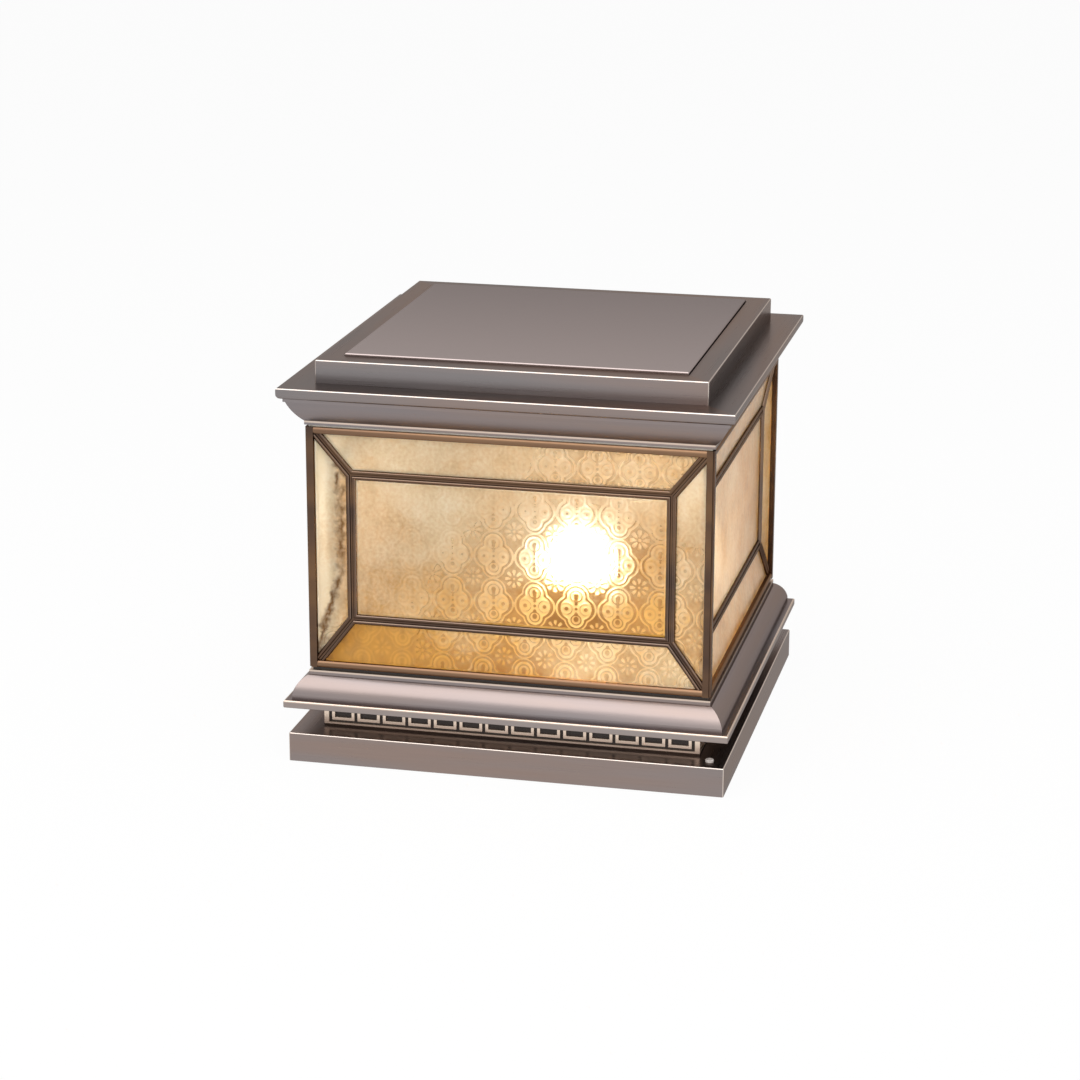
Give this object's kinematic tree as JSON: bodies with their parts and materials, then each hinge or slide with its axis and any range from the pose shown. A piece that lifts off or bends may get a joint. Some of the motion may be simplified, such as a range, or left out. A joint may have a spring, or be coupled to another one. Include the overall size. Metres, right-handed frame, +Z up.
{
  "type": "solar pillar light",
  "caption": "Square bronze pillar-top lantern with leaded amber glass, key-fret neck and a lift-off solar roof.",
  "frame": {"origin": "centre of the tray's underside, where the light stands on its pillar", "axes": "+Z up; -Y is the face turned most to the viewer, +X to its right"},
  "size_m": [0.3062, 0.3062, 0.2791],
  "materials": {
    "bronze": "satin antique bronze plate, lightly lacquered",
    "came": "dark bronze patina on rolled came, soldered",
    "black_paint": "matt black stove enamel",
    "amber_glass": "patterned amber glass, rolled relief",
    "pale_nylon": "moulded nylon",
    "white_enamel": "white reflector enamel",
    "holder_plastic": "moulded lamp-holder plastic",
    "bulb_cap": "bright rolled cap",
    "bulb_plastic": "moulded white plastic",
    "bulb_glass": "frosted globe",
    "led_board": "metal-core board with pale emitters",
    "connector_plastic": "moulded black plastic",
    "lead_sheath": "extruded flexible sheath",
    "zinc_steel": "zinc-plated steel",
    "gasket_rubber": "moulded sealing strip",
    "panel_glass": "bronze-tinted cover glass",
    "solar_cell": "dark silicon wafer",
    "backsheet_film": "white laminated film",
    "battery_wrap": "shrink-wrapped steel can",
    "circuit_board": "green solder mask",
    "button_plastic": "moulded red plastic"
  },
  "bodies": {
    "base": {"base_tray": "bronze", "fixing_sleeves": "pale_nylon", "neck_box": "black_paint", "fret_band_front": "bronze", "fret_band_right": "bronze", "fret_band_back": "bronze", "fret_band_left": "bronze", "lower_moulding_front": "bronze", "lower_moulding_right": "bronze", "lower_moulding_back": "bronze", "lower_moulding_left": "bronze", "cage_floor": "white_enamel", "corner_post_front_right": "bronze", "corner_post_back_right": "bronze", "corner_post_back_left": "bronze", "corner_post_front_left": "bronze", "bottom_rails": "bronze", "top_rails": "bronze", "came_lattice_front": "came", "came_lattice_right": "came", "came_lattice_back": "came", "came_lattice_left": "came", "centre_pane_front": "amber_glass", "centre_pane_right": "amber_glass", "centre_pane_back": "amber_glass", "centre_pane_left": "amber_glass", "border_panes_front": "amber_glass", "border_panes_right": "amber_glass", "border_panes_back": "amber_glass", "border_panes_left": "amber_glass", "lamp_holder": "holder_plastic", "holder_ring": "holder_plastic", "bulb_cap": "bulb_cap", "bulb_body": "bulb_plastic", "bulb_globe": "bulb_glass", "led_board": "led_board", "base_socket": "connector_plastic", "lamp_lead": "lead_sheath", "base_screws": "zinc_steel"},
    "roof": {"cornice_front": "bronze", "cornice_right": "bronze", "cornice_back": "bronze", "cornice_left": "bronze", "roof_slab": "bronze", "roof_riser": "bronze", "panel_gasket": "gasket_rubber", "panel_glass": "panel_glass", "solar_cells": "solar_cell", "panel_backsheet": "backsheet_film", "junction_box": "connector_plastic", "panel_lead": "lead_sheath", "roof_liner": "white_enamel", "locating_tabs": "white_enamel", "liner_screws": "zinc_steel", "battery_holder": "connector_plastic", "battery_cells": "battery_wrap", "charge_controller": "circuit_board", "switch_body": "connector_plastic", "roof_plug": "connector_plastic"},
    "switch_button": {"switch_button": "button_plastic"}
  },
  "joints": [
    {"name": "roof_lift", "type": "slide", "parent": "base", "child": "roof", "axis": [0, 0, 1], "range_m": [0, 0.06]},
    {"name": "button_press", "type": "slide", "parent": "roof", "child": "switch_button", "axis": [0, 0, 1], "range_m": [0, 0.0025], "stiffness_N_per_m": 300, "springref_m": -0.001}
  ]
}
